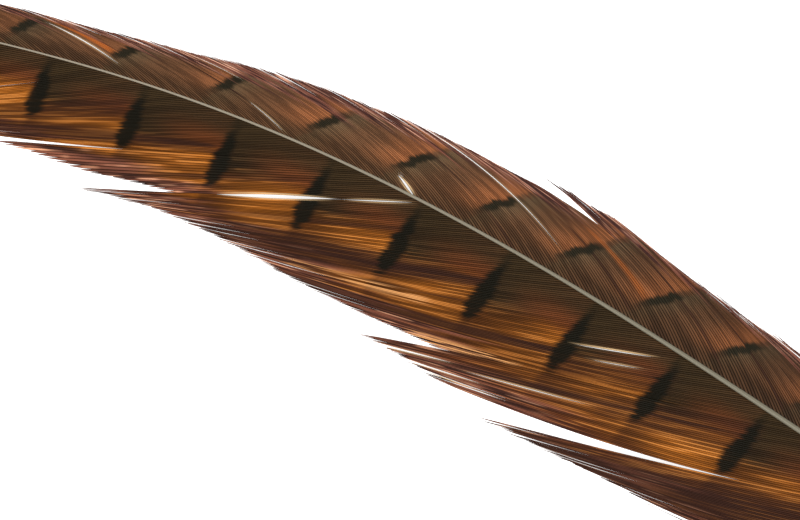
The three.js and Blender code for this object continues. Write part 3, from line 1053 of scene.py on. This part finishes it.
def narrow_vane_material():
    surface = Surface("narrow_vane_barbs", 0.5, 0.08)
    s, v, out, along, root, tone, across = vane_attributes(surface)

    # Where each point lies between two bars, with their edges made uneven from barb to barb.
    slanted = surface.math("MULTIPLY_ADD", v, NARROW_BAR_SLANT, s)
    slanted = surface.math("MULTIPLY_ADD", tone, 0.1, slanted)
    wander = surface.noise(root, out, 0.4, 2.0, 2.0)
    slanted = surface.math("MULTIPLY_ADD", surface.math("SUBTRACT", wander, 0.5), 1.6, slanted)
    cycle, distance = bar_cycle(
        surface, slanted, NARROW_BAR_AT, NARROW_BAR_PERIOD_TIP_SIDE, NARROW_BAR_PERIOD_QUILL_SIDE
    )
    streak = streaks(surface, root, along, tone)

    # Ground colour: brown by the shaft, rusty on the tip side of each bar and olive before the next one.
    past_bar = surface.smooth(cycle, 0.0, 0.08)
    glow = surface.math("MINIMUM", surface.smooth(cycle, 0.05, 0.6, 1.0, 0.0), past_bar)
    glow = surface.math("MULTIPLY", glow, surface.smooth(s, 232.0, 258.0, 1.0, 0.45))
    before_bar = surface.smooth(cycle, 0.92, 1.0, 1.0, 0.0)
    haze = surface.math("MINIMUM", surface.smooth(cycle, 0.6, 1.0), before_bar)
    zone = surface.blend(glow, linear(*NARROW_ZONE_DARK), linear(*NARROW_ZONE_RUSTY))
    zone = surface.blend(haze, zone, linear(*NARROW_ZONE_HAZE))
    near = surface.blend(haze, linear(*NARROW_NEAR), linear(*NARROW_NEAR_HAZE))
    colour = surface.blend(surface.smooth(out, 0.2, 0.75), near, zone)

    # Streaks, darker towards the quill and a little towards the tip, then dark lines and bright patches.
    level = surface.smooth(streak, 0.0, 1.0, 0.7, 1.16)
    level = surface.math("MULTIPLY", level, surface.smooth(s, 135.0, 230.0, 0.62, 1.12))
    level = surface.math("MULTIPLY", level, surface.smooth(s, 235.0, 270.0, 1.0, 0.86))
    colour = shaded(surface, colour, level)
    shade = surface.attribute("shade")
    colour = surface.blend(shade, colour, linear(*SHADE_COLOUR))
    colour = surface.blend(surface.attribute("glint_and_orange"), colour, linear(*EMBER_COLOUR))

    # Dark bars.
    bar_half = surface.smooth(out, 0.15, 0.7, 0.5, 1.1)
    bar = surface.smooth(surface.math("SUBTRACT", distance, bar_half), -0.6, 0.6, 1.0, 0.0)
    seen = surface.math(
        "MULTIPLY", surface.smooth(out, 0.25, 0.6, 0.0, 0.95), surface.smooth(out, 0.94, 1.1, 1.0, 0.0)
    )
    bar = surface.math("MULTIPLY", bar, seen)
    colour = surface.blend(bar, colour, linear(*NARROW_BAR_COLOUR))

    # The mauve fringe.
    fringe = fringe_share(surface, root, along, 0.2, 0.72)
    mauve = fringe_colour(surface, root, along, streak, 1.3, (0.52, 0.74), NARROW_FRINGE)
    colour = surface.blend(fringe, colour, mauve)

    # Depth of the painted shade in the valleys between barbs.
    valley_shade = surface.smooth(out, 0.3, 1.0, 0.72, 0.25)
    finish_vane(surface, colour, across, along, root, valley_shade, surface.smooth(out, 0.3, 1.0, 0.85, 0.5))
    return surface.material


def shaft_material():
    surface = Surface("shaft_keratin", 0.4, 0.25)
    s = surface.attribute("along_shaft")
    across = surface.attribute("across")
    grain = surface.noise(across, s, 6.0, 0.5, 3.0)
    to_tip = surface.smooth(s, 150.0, 280.0)
    colour = surface.blend(to_tip, linear(*RACHIS_COLOUR), linear(*RACHIS_TIP_COLOUR))
    colour = surface.blend(surface.smooth(s, 30.0, 90.0), linear(*QUILL_COLOUR), colour)
    colour = surface.blend(surface.math("MULTIPLY", grain, 0.35), colour, linear(*SHAFT_GRAIN_COLOUR))
    side = surface.smooth(surface.math("ABSOLUTE", across), 0.62, 1.0)
    rachis_only = surface.smooth(s, 40.0, 80.0, 0.25, 0.9)
    colour = surface.blend(surface.math("MULTIPLY", side, rachis_only), colour, linear(*SHAFT_SIDE_COLOUR))
    surface.put(surface.shader.inputs["Base Color"], colour)
    surface.bump(grain, 0.2, 0.0001)
    return surface.material


def down_material():
    surface = Surface("down_strands", 0.8, 0.2)
    tone = surface.attribute("tone")
    along = surface.attribute("along_barb")
    to_tip = surface.smooth(along, 0.0, 1.0)
    colour = surface.blend(to_tip, linear(*DOWN_FOOT_COLOUR), linear(*DOWN_TIP_COLOUR))
    shade = surface.smooth(tone, -2.0, 2.0)
    colour = surface.blend(surface.math("MULTIPLY", shade, 0.4), colour, linear(*DOWN_PALE_COLOUR))
    surface.put(surface.shader.inputs["Base Color"], colour)
    return surface.material


# ---- build ---------------------------------------------------------------------------------------

shaft_piece(shaft_material())
wide_material = wide_vane_material()
narrow_material = narrow_vane_material()
for lock in WIDE_LOCKS:
    lock_piece(WIDE_VANE, lock, wide_material, WIDE_SLITS, WIDE_SHADES, WIDE_PAINTED_GLINTS)
for lock in NARROW_LOCKS:
    lock_piece(NARROW_VANE, lock, narrow_material, NARROW_SLITS, NARROW_SHADES, NARROW_EMBERS)
strand_material = down_material()
for name, vane, roots, reaches, spreads in DOWN_LOCKS:
    down_piece(name, vane, roots, reaches, spreads, strand_material)

# ---- table, light and camera ---------------------------------------------------------------------

TABLE_HALF = 4.0
TABLE_DROP = 0.00002
TABLE_COLOUR = (0.88, 0.88, 0.87, 1)
TABLE_GLOW = 0.8
WHITE = (1, 1, 1, 1)
SURROUND_STRENGTH = 0.68


def table_piece():
    mesh = bpy.data.meshes.new("table")
    corners = [(-1, -1), (1, -1), (1, 1), (-1, 1)]
    mesh.from_pydata(
        [(x * TABLE_HALF, y * TABLE_HALF, -TABLE_DROP) for x, y in corners], [], [(0, 1, 2, 3)]
    )
    table = bpy.data.objects.new("table", mesh)
    bpy.context.collection.objects.link(table)
    surface = Surface("table_white", 0.9, 0.1)
    surface.shader.inputs["Base Color"].default_value = TABLE_COLOUR
    surface.shader.inputs["Emission Color"].default_value = WHITE
    surface.shader.inputs["Emission Strength"].default_value = TABLE_GLOW
    mesh.materials.append(surface.material)


def area_light(name, place, size, power):
    """A square soft light at place, in metres, aimed at the middle of the feather."""
    lamp = bpy.data.lights.new(name, "AREA")
    lamp.shape = "SQUARE"
    lamp.size = size
    lamp.energy = power
    light = bpy.data.objects.new(name, lamp)
    light.location = place
    reach = math.hypot(place[0], place[1])
    light.rotation_euler = (math.atan2(reach, place[2]), 0, math.atan2(place[0], -place[1]))
    bpy.context.collection.objects.link(light)


table_piece()
area_light("soft_light_high", (-0.25, 0.35, 0.9), 0.5, 8)
area_light("soft_light_low", (0.7, -0.5, 0.6), 0.7, 4)
world = bpy.data.worlds.new("studio")
world.use_nodes = True
world.node_tree.nodes["Background"].inputs["Color"].default_value = WHITE
world.node_tree.nodes["Background"].inputs["Strength"].default_value = SURROUND_STRENGTH
bpy.context.scene.world = world
bpy.context.scene.view_settings.view_transform = "Standard"

# The picture is 800 x 520 pixels, 128 mm wide on the feather. The shaft leaves its left edge at a known
# place and heading, and those set where the camera stands and how it is rolled.
PICTURE_WIDTH = 800
PICTURE_HEIGHT = 520
MM_PER_PIXEL = 0.16
LEFT_EDGE_S = 280
LEFT_EDGE_ROW = 42.6
MIDDLE_HEADING_IN_PICTURE = math.radians(159.4)
LENS = 100
SENSOR = 36
FOCUS_HEIGHT = 2.0

roll = -(MIDDLE_HEADING_IN_PICTURE + chord_turn)
right = PICTURE_WIDTH / 2 * MM_PER_PIXEL
down = (PICTURE_HEIGHT / 2 - LEFT_EDGE_ROW) * MM_PER_PIXEL
edge_x, edge_y = plan_point(np.float64(LEFT_EDGE_S), np.float64(0))
aim_x = edge_x + right * math.cos(roll) + down * math.sin(roll)
aim_y = edge_y + right * math.sin(roll) - down * math.cos(roll)
stand_off = PICTURE_WIDTH * MM_PER_PIXEL * LENS / SENSOR

camera_data = bpy.data.cameras.new("camera")
camera_data.lens = LENS
camera_data.sensor_width = SENSOR
camera_data.clip_start = 0.01
camera_data.clip_end = 20
camera = bpy.data.objects.new("camera", camera_data)
camera.location = (aim_x * MM, aim_y * MM, (stand_off + FOCUS_HEIGHT) * MM)
camera.rotation_euler = (0, 0, roll)
bpy.context.collection.objects.link(camera)
bpy.context.scene.camera = camera
